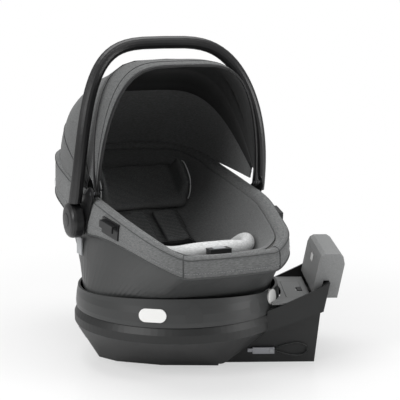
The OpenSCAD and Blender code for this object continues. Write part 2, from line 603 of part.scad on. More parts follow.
panel_z = 127;
panel_t = 4;
door_u = 219;
door_l = 39;
door_v = 66;
panel_far = bar_end - 6;
module base_panel() color("#8e9092") on_base() difference() {
    translate([ring_r - 24, -wall_v + 6.3, panel_z]) cube([panel_far - ring_r + 24, 2 * wall_v - 12.6, panel_t]);
    translate([0, 0, panel_z - 1]) cylinder(r = ring_r + 3.5, h = panel_t + 2, $fn = 96);
    translate([door_u - gap, -door_v - gap, panel_z - 1]) cube([door_l + 2 * gap, 2 * (door_v + gap), panel_t + 2]);
}
module tensioner_door() color("#96989a") on_base() difference() {
    union() {
        translate([door_u + panel_t / 2, -door_v, panel_z]) cube([door_l - panel_t / 2, 2 * door_v, panel_t]);
        translate([door_u + panel_t / 2, -door_v, panel_z + panel_t / 2]) rotate([-90, 0, 0]) cylinder(r = panel_t / 2, h = 2 * door_v);
    }
    translate([door_u + door_l - 12 - gap, -14 - gap, panel_z - 1]) cube([15, 28 + 2 * gap, panel_t + 2]);
}
module tensioner_latch() color("#3a3b3d") on_base() translate([door_u + door_l - 10, -14, panel_z]) cube([9.6, 28, panel_t + 1.5]);

module recline_lever() color("#c4c6c8") on_base() difference() {
    rotate([90, 0, 0]) translate([0, 0, -23]) linear_extrude(46) polygon([
        [-205.5, 61.5], [-191, 61.5], [-178, 36.5], [-190, 36.5]
    ]);
    rotate([90, 0, 0]) translate([0, 0, -16]) linear_extrude(32) polygon([[-197, 55], [-189, 55], [-185, 42], [-190, 42]]);
}

module base_feet() color("#131415") on_base() feet_places() cylinder(r = foot_r, h = foot_t);

// The bar is an upside-down U that straddles the end wall
bar_low = 138;            // lower end of the bar's outer leg
bar_foot = 148;           // lower end of its inner leg
bar_slot = wall_top + 0.5; // top of the slot that the end wall fills
function inner_face(z) = bar_end + 2 + wall_lean * (z - 114);  // faces of the end wall at a height
function outer_face(z) = bar_end + 13 + wall_lean * (z - 114);
module anti_rebound_bar() color("#9b9d9f") on_base() difference() {
    rotate([90, 0, 0]) translate([0, 0, -bar_v]) linear_extrude(2 * bar_v) polygon([
        [bar_end - 8, bar_foot], [bar_end + 5, bar_top - 14], [bar_end + 10, bar_top - 4], [bar_end + 18, bar_top],
        [bar_end + 45, bar_top], [bar_end + 53, bar_top - 5], [bar_end + 56, bar_top - 20], [bar_end + 42, bar_low],
        [outer_face(bar_low) + 0.5, bar_low], [outer_face(bar_slot) + 0.5, bar_slot],
        [inner_face(bar_slot) - 0.5, bar_slot], [inner_face(bar_foot) - 0.5, bar_foot]
    ]);
    // Seat of the release button in the inner face
    translate([bar_end + 0.5, -14 - gap, bar_button_z - gap]) rotate([0, lean, 0]) translate([-20, 0, 0]) cube([30, 28 + 2 * gap, 14 + 2 * gap]);
}
bar_button_z = bar_top - 34;
module bar_button() color("#e4e5e6") on_base() translate([bar_end + 0.5, -14, bar_button_z]) rotate([0, lean, 0]) translate([0, 0, 0]) cube([6, 28, 14]);

// Stowed belt connectors on the sides of the lower body
conn_u = 150;
module connector() translate([conn_u, body_v + 0.3, 20]) union() {
    difference() {
        cube([44, 9, 13]);
        translate([34 - gap, 6, 3 - gap]) cube([8 + 2 * gap, 4, 7 + 2 * gap]);
    }
    translate([-10, 3, 3]) cube([10.5, 3, 7]);
}
module latch_connectors() color("#3c3d40") on_base() {
    connector();
    mirror([0, 1, 0]) connector();
}
module connector_button() translate([conn_u + 34, body_v + 7.3, 23]) cube([8, 3.5, 7]);
module connector_button_near() color("#a9abae") on_base() mirror([0, 1, 0]) connector_button();
module connector_button_far() color("#a9abae") on_base() connector_button();
module webbing_loop() translate([conn_u + 44.3, body_v + 0.3, 0]) rotate([90, 0, 0]) translate([0, 0, -6]) linear_extrude(6) difference() {
    polygon([for (i = [0 : 35]) let (a = 10 * i) [34 + 34 * cos(a), 27 + (8 + 10 * (1 + cos(a)) / 2) * sin(a)]]);
    polygon([for (i = [0 : 35]) let (a = 10 * i) [34 + 32 * cos(a), 27 + (6 + 10 * (1 + cos(a)) / 2) * sin(a)]]);
}
module latch_webbing() color("#2c2d2f") on_base() {
    webbing_loop();
    mirror([0, 1, 0]) webbing_loop();
}

carrier_shell();
foam_liner();
rim_cover();
seat_cover();
body_insert();
seat_insert();
leg_bolsters();
head_support();
shoulder_straps();
strap_pads();
crotch_strap();
buckle();
buckle_button();
chest_clip();
harness_adjuster();
adjuster_button();
belt_guides();
side_plates();
latch_bars();
side_bracket_left();
side_bracket_right();
pivot_pins();
detent_gears();
canopy_pins();
canopy_rear();
canopy_mid();
canopy_mid_bow();
canopy_front();
canopy_front_bow();
handle_bar();
handle_hub_left();
handle_hub_right();
handle_button_left();
handle_button_right();
release_lever();
release_housing();
turntable_plate();
turntable_ring();
dock();
rotate_button();
lock_indicator();
base_floor();
base_shell();
base_body();
base_frame();
bearing_race();
bearing_balls();
base_panel();
tensioner_door();
tensioner_latch();
recline_lever();
base_feet();
anti_rebound_bar();
bar_button();
latch_connectors();
connector_button_near();
connector_button_far();
latch_webbing();
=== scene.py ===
import bpy
import numpy as np
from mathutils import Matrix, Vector
from mathutils.bvhtree import BVHTree


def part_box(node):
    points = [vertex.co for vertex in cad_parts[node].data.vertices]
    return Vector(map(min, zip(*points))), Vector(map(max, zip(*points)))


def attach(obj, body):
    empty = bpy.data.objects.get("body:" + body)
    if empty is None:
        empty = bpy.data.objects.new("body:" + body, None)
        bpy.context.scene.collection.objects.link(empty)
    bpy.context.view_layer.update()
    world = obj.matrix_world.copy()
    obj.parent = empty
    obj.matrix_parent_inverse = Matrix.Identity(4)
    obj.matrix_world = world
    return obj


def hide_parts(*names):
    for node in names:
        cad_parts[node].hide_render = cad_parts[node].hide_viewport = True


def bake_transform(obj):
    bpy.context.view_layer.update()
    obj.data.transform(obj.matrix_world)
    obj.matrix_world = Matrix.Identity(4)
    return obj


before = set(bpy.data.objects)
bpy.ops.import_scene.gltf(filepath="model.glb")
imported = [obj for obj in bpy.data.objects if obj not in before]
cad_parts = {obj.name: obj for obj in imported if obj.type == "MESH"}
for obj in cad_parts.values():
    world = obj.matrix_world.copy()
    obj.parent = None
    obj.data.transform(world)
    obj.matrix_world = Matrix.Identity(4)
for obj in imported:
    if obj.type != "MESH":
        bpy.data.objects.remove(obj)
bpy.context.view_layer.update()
scene = bpy.context.scene
mm = 0.001
randomSource = np.random.default_rng(7)
waveBand = 0.314  # a wave texture's band is this over its scale
slowTone = 0.014 / mm  # tone changes about 70 mm apart


# linear colour of a six digit sRGB code, by the sRGB curve undone for each channel
def linear(code):
    c = np.array([int(code[i:i + 2], 16) for i in (0, 2, 4)]) / 255
    c = np.where(c <= 0.04045, c / 12.92, ((c + 0.055) / 1.055) ** 2.4)
    return (*map(float, c), 1.0)


# adds a node, sets its properties, inputs by name and sockets by number,
# joins links (output, input name) into it and feeds (output name, input) from it
def addNode(tree, kind, place, links=(), feeds=(), sockets=(), **values):
    node = tree.nodes.new(kind)
    node.location = place
    for key, value in values.items():
        if hasattr(node, key):
            setattr(node, key, value)
        else:
            node.inputs[key.replace("_", " ")].default_value = value
    for number, value in sockets:
        node.inputs[number].default_value = value
    for output, name in links:
        tree.links.new(output, node.inputs[name])
    for name, target in feeds:
        tree.links.new(node.outputs[name], target)
    return node


# a material with one principled shader, the surface's coordinates and its node tree
def newMaterial(name, code, rough, metal=0.0, spec=0.5):
    material = bpy.data.materials.new(name)
    material.use_nodes = True
    tree = material.node_tree
    shader = tree.nodes["Principled BSDF"]
    settings = {"Base Color": linear(code), "Roughness": rough, "Metallic": metal,
                "Specular IOR Level": spec}
    for key, value in settings.items():
        shader.inputs[key].default_value = value
    where = addNode(tree, "ShaderNodeTexCoord", (-1300, 0)).outputs["Object"]
    return material, tree, shader, where


# moulded plastic: a fine spark-eroded grain, a faint tone change and an uneven gloss
def plastic(name, dark, pale, rough, grain=0.35, bump=0.06):
    material, tree, shader, where = newMaterial(name, dark, rough)
    glossChange = 0.06
    fine = addNode(tree, "ShaderNodeTexNoise", (-700, 0), [(where, "Vector")],
                   Scale=1 / (grain * mm), Detail=3.0)
    broad = addNode(tree, "ShaderNodeTexNoise", (-700, -260), [(where, "Vector")], Scale=slowTone, Detail=2.0)
    addNode(tree, "ShaderNodeMix", (-300, 120), [(broad.outputs["Fac"], "Factor")],
            [(2, shader.inputs["Base Color"])], [(6, linear(dark)), (7, linear(pale))], data_type="RGBA")
    addNode(tree, "ShaderNodeMapRange", (-300, -120), [(broad.outputs["Fac"], "Value")],
            [("Result", shader.inputs["Roughness"])], To_Min=rough - glossChange, To_Max=rough + glossChange)
    addNode(tree, "ShaderNodeBump", (-300, -400), [(fine.outputs["Fac"], "Height")],
            [("Normal", shader.inputs["Normal"])], Strength=bump, Distance=0.4 * mm)
    return material


# light moulded plastic with fine darker flecks through it, which look like stone
def speckled(name, base, fleck, rough):
    material, tree, shader, where = newMaterial(name, base, rough)
    fleckRate = 0.9 / mm
    fine = addNode(tree, "ShaderNodeTexNoise", (-700, 0), [(where, "Vector")], Scale=fleckRate, Detail=4.0)
    cut = addNode(tree, "ShaderNodeMapRange", (-500, 0), [(fine.outputs["Fac"], "Value")],
                  From_Min=0.42, From_Max=0.66)
    addNode(tree, "ShaderNodeMix", (-300, 0), [(cut.outputs["Result"], "Factor")],
            [(2, shader.inputs["Base Color"])], [(6, linear(base)), (7, linear(fleck))], data_type="RGBA")
    addNode(tree, "ShaderNodeBump", (-300, -300), [(fine.outputs["Fac"], "Height")],
            [("Normal", shader.inputs["Normal"])], Strength=0.08, Distance=0.3 * mm)
    return material


# melange cloth: two crossed sets of threads, with dark and pale fibres drawn out sideways,
# which break up the grey; thread is the thread spacing in mm, drawn coarse enough to show
def woven(name, dark, pale, thread=0.7, streak=0.5, rough=0.9, bump=0.35):
    material, tree, shader, where = newMaterial(name, dark, rough, spec=0.2)
    fibreRate = (0.16 / mm, 0.16 / mm, 0.9 / mm)  # fibres 6 mm long and 1 mm thick
    contrast = streak * 0.3
    threads = {}
    for direction, height in (("X", 200), ("Z", -100)):
        threads[direction] = addNode(tree, "ShaderNodeTexWave", (-900, height), [(where, "Vector")],
                                     bands_direction=direction, Scale=waveBand / (thread * mm), Distortion=1.5)
    stretched = addNode(tree, "ShaderNodeMapping", (-1100, -400), [(where, "Vector")], Scale=fibreRate)
    fibres = addNode(tree, "ShaderNodeTexNoise", (-900, -400), [(stretched.outputs["Vector"], "Vector")],
                     Scale=1.0, Detail=4.0, Roughness=0.65)
    spread = addNode(tree, "ShaderNodeMapRange", (-700, -400), [(fibres.outputs["Fac"], "Value")],
                     From_Min=0.5 - contrast, From_Max=0.5 + contrast)
    addNode(tree, "ShaderNodeMix", (-300, 100), [(spread.outputs["Result"], "Factor")],
            [(2, shader.inputs["Base Color"])], [(6, linear(dark)), (7, linear(pale))], data_type="RGBA")
    weave = addNode(tree, "ShaderNodeMath", (-600, 100),
                    [(threads["X"].outputs["Fac"], 0), (threads["Z"].outputs["Fac"], 1)], operation="MULTIPLY")
    addNode(tree, "ShaderNodeBump", (-300, -300), [(weave.outputs["Value"], "Height")],
            [("Normal", shader.inputs["Normal"])], Strength=bump, Distance=0.4 * mm)
    shader.inputs["Sheen Weight"].default_value = 0.15
    shader.inputs["Sheen Roughness"].default_value = 0.5
    return material


# ribbed knit: fine ridges across the pad with a soft fleck; pitch is the ridge spacing in mm
def ribbed(name, dark, pale, pitch=2.2):
    material, tree, shader, where = newMaterial(name, dark, 0.92, spec=0.15)
    fleckRate = 0.42 / mm
    ribs = addNode(tree, "ShaderNodeTexWave", (-900, 200), [(where, "Vector")], bands_direction="Z",
                   Scale=waveBand / (pitch * mm), Distortion=2.0, Detail=2.0, Detail_Scale=3.0)
    fleck = addNode(tree, "ShaderNodeTexNoise", (-900, -200), [(where, "Vector")], Scale=fleckRate, Detail=3.0)
    mixed = addNode(tree, "ShaderNodeMath", (-600, 0), [(ribs.outputs["Fac"], 0), (fleck.outputs["Fac"], 1)],
                    operation="MULTIPLY")
    addNode(tree, "ShaderNodeMix", (-300, 100), [(mixed.outputs["Value"], "Factor")],
            [(2, shader.inputs["Base Color"])], [(6, linear(dark)), (7, linear(pale))], data_type="RGBA")
    addNode(tree, "ShaderNodeBump", (-300, -300), [(ribs.outputs["Fac"], "Height")],
            [("Normal", shader.inputs["Normal"])], Strength=0.3, Distance=0.6 * mm)
    return material


# a plain finish whose gloss is slightly uneven, so that highlights break up a little
def plain(name, code, rough, metal=0.0, spec=0.5):
    material, tree, shader, where = newMaterial(name, code, rough, metal, spec)
    grainRate = 0.3 / mm
    fine = addNode(tree, "ShaderNodeTexNoise", (-500, 0), [(where, "Vector")], Scale=grainRate, Detail=3.0)
    addNode(tree, "ShaderNodeMapRange", (-300, -100), [(fine.outputs["Fac"], "Value")],
            [("Result", shader.inputs["Roughness"])], To_Min=rough * 0.85, To_Max=min(1.0, rough * 1.15))
    addNode(tree, "ShaderNodeBump", (-300, -300), [(fine.outputs["Fac"], "Height")],
            [("Normal", shader.inputs["Normal"])], Strength=0.03, Distance=0.3 * mm)
    return material


blackSatin = plastic("satin black moulded nylon", "101011", "161617", 0.34)
shellGrey = plastic("dark grey satin polypropylene", "323333", "383939", 0.42)
charcoal = plastic("charcoal textured polypropylene", "171818", "1b1c1c", 0.48, grain=0.5, bump=0.1)
ringGrey = plastic("dark grey satin ring moulding", "2f3030", "343535", 0.4)
lightGrey = speckled("light grey flecked plastic", "8a8b8b", "737474", 0.5)
plateGrey = plain("pale grey moulded plastic", "a4a6a8", 0.5)
glossWhite = plain("glossy white moulded plastic", "ececea", 0.25)
redGloss = plain("glossy red moulded plastic", "a32421", 0.3)
steel = plain("plain brushed steel", "9b9ca0", 0.35, metal=1.0)
rubber = plain("black soft rubber", "141415", 0.85)
melange = woven("grey melange canopy cloth", "444545", "636464")
rimCloth = woven("grey melange rim cloth", "565757", "747575")
lining = woven("black canopy lining", "1a1a1b", "242525", streak=0.3, bump=0.15)
wallCloth = woven("smooth grey seat cloth", "616262", "717272", thread=0.5, streak=0.35, bump=0.18)
backCloth = woven("mid grey head panel cloth", "606161", "7c7d7d")
ribKnit = ribbed("dark ribbed knit", "474848", "868787")
paleCloth = woven("pale grey border cloth", "c3c4c4", "dcdddd", thread=0.5, streak=0.3, bump=0.15)
piping = plain("white corded piping", "d8d9d9", 0.8, spec=0.2)
darkPiping = plain("dark corded piping", "2c2c2d", 0.85, spec=0.2)
rimPiping = plain("grey corded piping", "4a4b4b", 0.85, spec=0.2)
threadGrey = plain("pale sewing thread", "8d8f90", 0.8, spec=0.2)
webCloth = woven("black woven webbing", "252626", "343535", thread=1.2, streak=0.3)
foamWhite = plain("expanded bead foam", "dcdcd8", 0.9)
print("materials ready")


def newPiece(name, points, faces, materials, slot, body=None, standsFor=()):
    mesh = bpy.data.meshes.new(name)
    mesh.from_pydata([tuple(map(float, p)) for p in points], [], [tuple(map(int, f)) for f in faces])
    mesh.validate()
    mesh.polygons.foreach_set("use_smooth", [True] * len(mesh.polygons))
    obj = bpy.data.objects.new(name, mesh)
    scene.collection.objects.link(obj)
    for material in materials:
        mesh.materials.append(material)
    if body:
        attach(obj, body)
    if standsFor:
        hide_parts(*standsFor)
    return obj


# quads between neighbouring rows of points, as index numbers
def gridFaces(rows, columns, closedRows=False, closedColumns=False):
    r = np.arange(rows if closedRows else rows - 1)
    c = np.arange(columns if closedColumns else columns - 1)
    a, b = np.meshgrid(r, c, indexing="ij")
    nextA, nextB = (a + 1) % rows, (b + 1) % columns
    corners = [a * columns + b, nextA * columns + b, nextA * columns + nextB, a * columns + nextB]
    return np.stack(corners, -1).reshape(-1, 4)


# a round cord: a ring of points square to the path at each of its points;
# the radius may change along the path
def tube(path, radius, sides=10, closed=False):
    p = np.asarray(path, float)
    n = len(p)
    ahead = np.roll(p, -1, 0) - np.roll(p, 1, 0)
    if not closed:
        ahead[0], ahead[-1] = p[1] - p[0], p[-1] - p[-2]
    ahead /= np.linalg.norm(ahead, axis=1)[:, None] + 1e-12
    side = np.cross(ahead, [0, 0, 1.0])
    upright = np.linalg.norm(side, axis=1) < 1e-3
    side[upright] = np.cross(ahead[upright], [0, 1.0, 0])
    side /= np.linalg.norm(side, axis=1)[:, None]
    top = np.cross(side, ahead)
    turn = np.linspace(0, 2 * np.pi, sides, endpoint=False)[None, :, None]
    r = np.broadcast_to(radius, n)[:, None, None]
    rings = p[:, None] + r * (np.cos(turn) * side[:, None] + np.sin(turn) * top[:, None])
    faces = [tuple(f) for f in gridFaces(n, sides, closed, True)]
    if not closed:
        faces += [tuple(range(sides)), tuple(range((n - 1) * sides, n * sides))[::-1]]
    return rings.reshape(-1, 3), faces


# several (points, faces) pairs as one
def joined(parts):
    points, faces, start = [], [], 0
    for p, f in parts:
        points.append(np.asarray(p, float))
        faces += [tuple(int(i) + start for i in face) for face in f]
        start += len(p)
    return np.concatenate(points), faces


# a ray tree over CAD nodes
def treeOf(*names):
    points, faces, start = [], [], 0
    for name in names:
        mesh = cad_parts[name].data
        points += [v.co.copy() for v in mesh.vertices]
        faces += [[i + start for i in p.vertices] for p in mesh.polygons]
        start += len(mesh.vertices)
    return BVHTree.FromPolygons(points, faces)


# the point where a straight drop meets the tree, or the height missed where it meets nothing
def landed(tree, x, y, lift=0.0, dropHeight=0.9, missed=0.2):
    hit = tree.ray_cast(Vector((x, y, dropHeight)), Vector((0, 0, -1)))[0]
    return np.array([x, y, (hit.z if hit else missed) + lift])


# a smooth curve through key points: a cubic from key to key, whose slope at each key
# is half the step between that key's neighbours
def curveThrough(keys, count, closed=False):
    k = np.asarray(keys, float)
    n = len(k)
    t = np.linspace(0, n if closed else n - 1, count, endpoint=not closed)
    i = np.minimum(t.astype(int), n - 1 if closed else n - 2)
    f = (t - i)[:, None]
    if closed:
        a, b, c, d = k[(i - 1) % n], k[i % n], k[(i + 1) % n], k[(i + 2) % n]
    else:
        a, b, c, d = k[np.maximum(i - 1, 0)], k[i], k[i + 1], k[np.minimum(i + 2, n - 1)]
    bend, twist = 2 * a - 5 * b + 4 * c - d, 3 * b - a - 3 * c + d
    return 0.5 * (2 * b + (c - a) * f + bend * f ** 2 + twist * f ** 3)


# adds a modifier with its settings and applies it to the active object
def applied(obj, kind, **settings):
    modifier = obj.modifiers.new(kind.lower(), kind)
    for key, value in settings.items():
        setattr(modifier, key, value)
    bpy.ops.object.modifier_apply(modifier=modifier.name)


# a padded copy of a CAD solid: an even skin, or its own skin welded where voxel is 0,
# smoothed, swollen by puff along its normals with slow creases, and subdivided once
def softened(name, pad, material):
    obj = bpy.data.objects.new(name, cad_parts[pad["node"]].data.copy())
    scene.collection.objects.link(obj)
    obj.data.materials.clear()
    bpy.context.view_layer.objects.active = obj
    for other in bpy.context.selected_objects:
        other.select_set(False)
    obj.select_set(True)
    if pad["voxel"]:
        applied(obj, "REMESH", mode="VOXEL", voxel_size=pad["voxel"])
    else:
        applied(obj, "WELD", merge_threshold=0.05 * mm)
    if pad["rounds"]:
        applied(obj, "SMOOTH", factor=0.5, iterations=pad["rounds"])
    count = len(obj.data.vertices)
    places, normals = np.zeros(count * 3), np.zeros(count * 3)
    obj.data.vertices.foreach_get("co", places)
    obj.data.vertices.foreach_get("normal", normals)
    places, normals = places.reshape(-1, 3), normals.reshape(-1, 3)
    # the creases are a sum of a few sine ripples along different directions
    creaseRate, creaseHeight = 55, 0.6 * mm if pad["voxel"] else 0.0
    wave = np.zeros(count)
    for _ in range(5):
        direction = randomSource.normal(size=3) * creaseRate
        wave += np.sin(places @ direction + randomSource.uniform(0, 6.28))
    places = places + normals * (pad["puff"] + creaseHeight * wave)[:, None]
    obj.data.vertices.foreach_set("co", places.ravel())
    obj.data.update()
    applied(obj, "SUBSURF", levels=1, render_levels=1)
    obj.data.polygons.foreach_set("use_smooth", [True] * len(obj.data.polygons))
    obj.data.materials.append(material)
    obj.select_set(False)
    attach(obj, pad["body"])
    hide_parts(pad["node"])


rim = {
    "inset": 4.5 * mm,  # from the CAD cover's outside in to the line of the shell's edge
    "rise": 0.138,  # from the foot up to the head end
    "points": 240,  # round the rim
    "foot": 0.042, "extra": 0.038,  # the cloth band's depth at the foot, and how much more at the head
    "ripple": 0.7 * mm,
    # half the edge from the foot to the head end: shares of the half width, the reach and the rise
    "keys": [(0, -1, 0), (0.33, -0.985, 0), (0.54, -0.95, 0.01), (0.75, -0.82, 0.155), (0.87, -0.55, 0.295),
             (0.975, -0.19, 0.465), (1, 0.13, 0.57), (0.995, 0.45, 0.71), (0.94, 0.75, 0.88), (0.7, 0.94, 0.975),
             (0, 1, 1)],
    # the band's section in mm, from the hem up the outside: out, share of the band's depth, lift
    "hem": [(0.5, 1, 1), (3.4, 1, 0), (4.6, 0.96, 0), (4.4, 0.86, 0), (5.2, 0.6, 0), (4.8, 0.35, 0)],
    # then over the top and down the inside: out, up
    "top": [(3.6, -7), (1.2, -2.2), (-3, -0.2), (-9, 0.4), (-15, -1.6), (-20, -6), (-22, -12), (-22, -22),
            (-18, -22), (-17, -10), (-10, -5), (-1, -6)],
    "corner": (0.54, -0.95)}  # where the seams of the foot face are, as in keys
rimLow, rimHigh = [np.array(p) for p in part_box("rim_cover")]
halfWidth = rimHigh[0] - rim["inset"]
footReach = -rimLow[1] - rim["inset"]
headReach = rimHigh[1] - rim["inset"]
rimFoot = rimHigh[2] - rim["rise"]
half = [(kx * halfWidth, ky * (footReach if ky < 0 else headReach), rimFoot + kz * rim["rise"])
        for kx, ky, kz in rim["keys"]]
rimLoop = curveThrough(half + [(-x, y, z) for x, y, z in half[-2:0:-1]], rim["points"], closed=True)


# the loop moved outwards, square to its own direction in plan, and upwards, both in mm
def grown(loop, out, up=0):
    d = np.roll(loop, -1, 0) - np.roll(loop, 1, 0)
    sideways = d[:, :2] / np.hypot(d[:, 0], d[:, 1])[:, None] * out * mm
    return loop + np.stack([sideways[:, 1], -sideways[:, 0], np.full(len(loop), up * mm)], 1)


# depth of the cloth band at a distance y from the turntable axis: it grows with the square
# of the share of the way from the foot, up to just past the axis
def bandDrop(y):
    share = np.clip((y + footReach) / (footReach + 0.02), 0, 1)
    return rim["foot"] + rim["extra"] * share ** 2


# the loop moved down by a share of the band's depth, less a lift in mm
def dropped(loop, share, lift=0):
    lowered = loop.copy()
    lowered[:, 2] -= bandDrop(lowered[:, 1]) * share - lift * mm
    return lowered


section = np.stack([dropped(grown(rimLoop, out), share, lift) for out, share, lift in rim["hem"]]
                   + [grown(rimLoop, out, up) for out, up in rim["top"]])
ripple = rim["ripple"] * np.sin(rimLoop[:, 0] * 90 + 1.0) * np.sin(rimLoop[:, 1] * 70)
section[3:6, :, 2] += ripple[None] * 0.5
fromMiddle = section[4:6, :, :2] - section[4:6, :, :2].mean(1, keepdims=True)
section[4:6, :, :2] += fromMiddle * (ripple * 4)[None, :, None]
rimFaces = gridFaces(len(section), rim["points"], True, True)[:, ::-1]
rimPiece = newPiece("rimFabric", section.reshape(-1, 3), rimFaces, [rimCloth], "melange_fabric", "carrier",
                    ("rim_cover",))
welts = [tube(dropped(grown(rimLoop, 4.8), 1, 1.6), 1.5 * mm, closed=True),
         tube(grown(rimLoop, 3.9, -5.5), 0.8 * mm, closed=True)]
# the corner seams of the foot face run from the inside over the top and down to the hem
for side in (-1, 1):
    corner = np.array([side * rim["corner"][0] * halfWidth, rim["corner"][1] * footReach])
    i = int(np.argmin(np.linalg.norm(rimLoop[:, :2] - corner, axis=1)))
    path = [grown(rimLoop, out, up)[i] for out, up in ((-20, -6), (-9, 0.8), (-1, -0.8), (3.9, -7))]
    outside = grown(rimLoop, 5.4)[i]
    path += [outside - np.array([0, 0, bandDrop(rimLoop[i, 1]) * t]) for t in (0.35, 0.6, 0.85, 0.98)]
    welts.append(tube(curveThrough(path, 40), 0.9 * mm))
newPiece("rimWelts", *joined(welts), [rimPiping], "melange_fabric", "carrier")


# short thread dashes along a closed loop
def stitches(loop, length=3.2 * mm, space=2.2 * mm, radius=0.42 * mm):
    p = np.vstack([loop, loop[:1]])
    along = np.concatenate([[0], np.cumsum(np.linalg.norm(np.diff(p, axis=0), axis=1))])
    out = []
    t = 0.0
    while t + length < along[-1]:
        marks = (t, t + length / 2, t + length)
        out.append(tube(np.stack([np.interp(marks, along, p[:, k]) for k in range(3)], 1), radius, sides=5))
        t += length + space
    return out


seamLines = stitches(dropped(grown(rimLoop, 5.7), 0.74)) + stitches(grown(rimLoop, -4, 0.3))
newPiece("rimStitching", *joined(seamLines), [threadGrey], "melange_fabric", "carrier")
print("rim ready")

canopy = {
    "y": -0.004, "z": 0.347,  # the fold's axis
    "lowRows": 36, "highRows": 36, "columns": 97,
    "thick": 3.0 * mm,
    "hem": [(54, 0.040), (70, 0.012)],  # angle and height of the lower edge above the axis
    "sags": [(76, 23, 1.6 * mm), (54, 22, 2.2 * mm)],  # from an angle, over so many degrees, how deep
    "gather": 0.54 * mm,
    "facedTo": 36,  # the fixed rear panel is faced with grey cloth inside up to this angle
    "blendRadius": 0.24, "blendFrom": 56, "blendTo": 76,
    # angle from level at the head end, reach, mm wider than the CAD panel, roundness across and upwards
    "keys": [(5.2, 0.3765, 8.4, 3.6, 3.6), (14, 0.352, 8.6, 4.2, 4.0), (21, 0.332, 8.6, 4.6, 4.2),
             (32, 0.3102, 8.4, 4.8, 4.0), (44, 0.2882, 7.6, 4.6, 3.2), (54, 0.2765, 7.0, 4.5, 2.4),
             (62, 0.2685, 5.4, 4.4, 2.0), (71, 0.2660, 4.6, 4.3, 1.84), (80, 0.2640, 3.0, 4.3, 1.78),
             (90, 0.2610, 1.2, 4.3, 1.76), (98, 0.2580, 0.6, 4.3, 1.76), (99.6, 0.2562, 0, 4.3, 1.76)],
    # seam: row, mm proud of the cloth, radius in mm, body
    "seams": {"canopyFrontSeam": (66, 0.2, 0.8, "canopy_front"), "canopyRearSeam": (34, 0.3, 1.0, "carrier"),
              "canopyLowSeam": (13, 0.3, 0.9, "carrier")}}
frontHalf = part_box("canopy_front")[1][0]
canopyKeys = np.array(canopy["keys"])
rowCount, columnCount = canopy["lowRows"] + canopy["highRows"], canopy["columns"]
firstAngle, hemAngle, lastAngle = canopyKeys[0, 0], canopy["hem"][0][0], canopyKeys[-1, 0]
rowAngle = np.concatenate([np.linspace(firstAngle, hemAngle, canopy["lowRows"]),
                           np.linspace(hemAngle + 1, lastAngle, canopy["highRows"])])
reach, wide, across, upward = [np.interp(rowAngle, canopyKeys[:, 0], column)[:, None]
                               for column in canopyKeys.T[1:]]
wide = frontHalf + wide * mm
hemHeight = np.interp(rowAngle, *zip(*canopy["hem"]))[:, None]
# the cloth sinks a little between the bows
sag = sum(depth * np.sin(np.pi * np.clip((rowAngle - first) / span, 0, 1))
          for first, span, depth in canopy["sags"])


# the canopy a distance inside its outer face: each row is a superellipse bow at its own angle
# about the axis, from the hem on one side over to the hem on the other
def canopySurface(inset):
    rise = np.radians(rowAngle)[:, None]
    low = np.arcsin((hemHeight / reach) ** (upward / 2))
    turn = np.linspace(low[:, 0], np.pi - low[:, 0], columnCount, axis=1)
    radius = (reach - inset) * np.sin(turn) ** (2 / upward) - sag[:, None] * np.sin(turn) ** 2
    x = (wide - inset) * np.sign(np.cos(turn)) * np.abs(np.cos(turn)) ** (2 / across)
    return np.stack([x, canopy["y"] + radius * np.cos(rise), canopy["z"] + radius * np.sin(rise)], -1)


outerCloth, innerCloth = canopySurface(0), canopySurface(canopy["thick"])
# fine gathers near the lower corners, fading upwards
height = np.clip((outerCloth[..., 2] - canopy["z"]) / 0.25, 0, 2)
gather = canopy["gather"] * np.sin(rowAngle[:, None] * 1.3 + outerCloth[..., 1] * 60) * np.exp(-height * 5)
outerCloth[..., 0] += np.sign(outerCloth[..., 0]) * gather
count = rowCount * columnCount
outerFaces = gridFaces(rowCount, columnCount)
innerFaces = outerFaces[:, ::-1] + count
index = np.arange(count).reshape(rowCount, columnCount)
around = np.concatenate([index[0, :-1], index[:-1, -1], index[-1, :0:-1], index[:0:-1, 0]])
following = np.roll(around, -1)
edgeFaces = np.stack([around, following, following + count, around + count], 1)
canopyPiece = newPiece("canopyCloth", np.concatenate([outerCloth.reshape(-1, 3), innerCloth.reshape(-1, 3)]),
                       np.concatenate([outerFaces, innerFaces, edgeFaces]), [melange, lining, backCloth],
                       "melange_fabric")
facing = [2 if faced else 1 for faced in np.repeat(rowAngle[:-1] < canopy["facedTo"], columnCount - 1)]
materialNumbers = [0] * len(outerFaces) + facing + [1] * len(edgeFaces)
canopyPiece.data.polygons.foreach_set("material_index", materialNumbers)
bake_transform(canopyPiece)
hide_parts("canopy_front", "canopy_mid", "canopy_rear")


# a line of the outer cloth at one row, lifted away from the axis
def canopyLine(row, lift):
    d = outerCloth[row] - np.array([0, canopy["y"], canopy["z"]])
    return outerCloth[row] + d / np.linalg.norm(d, axis=1)[:, None] * lift


binding = tube(0.5 * (outerCloth[-1] + innerCloth[-1]), 2.1 * mm)
newPiece("canopyBinding", *binding, [darkPiping], "melange_fabric", "canopy_front")
for name, (row, lift, radius, body) in canopy["seams"].items():
    seam = tube(canopyLine(row, lift * mm), radius * mm, sides=6)
    newPiece(name, *seam, [darkPiping], "melange_fabric", body)
print("canopy ready")

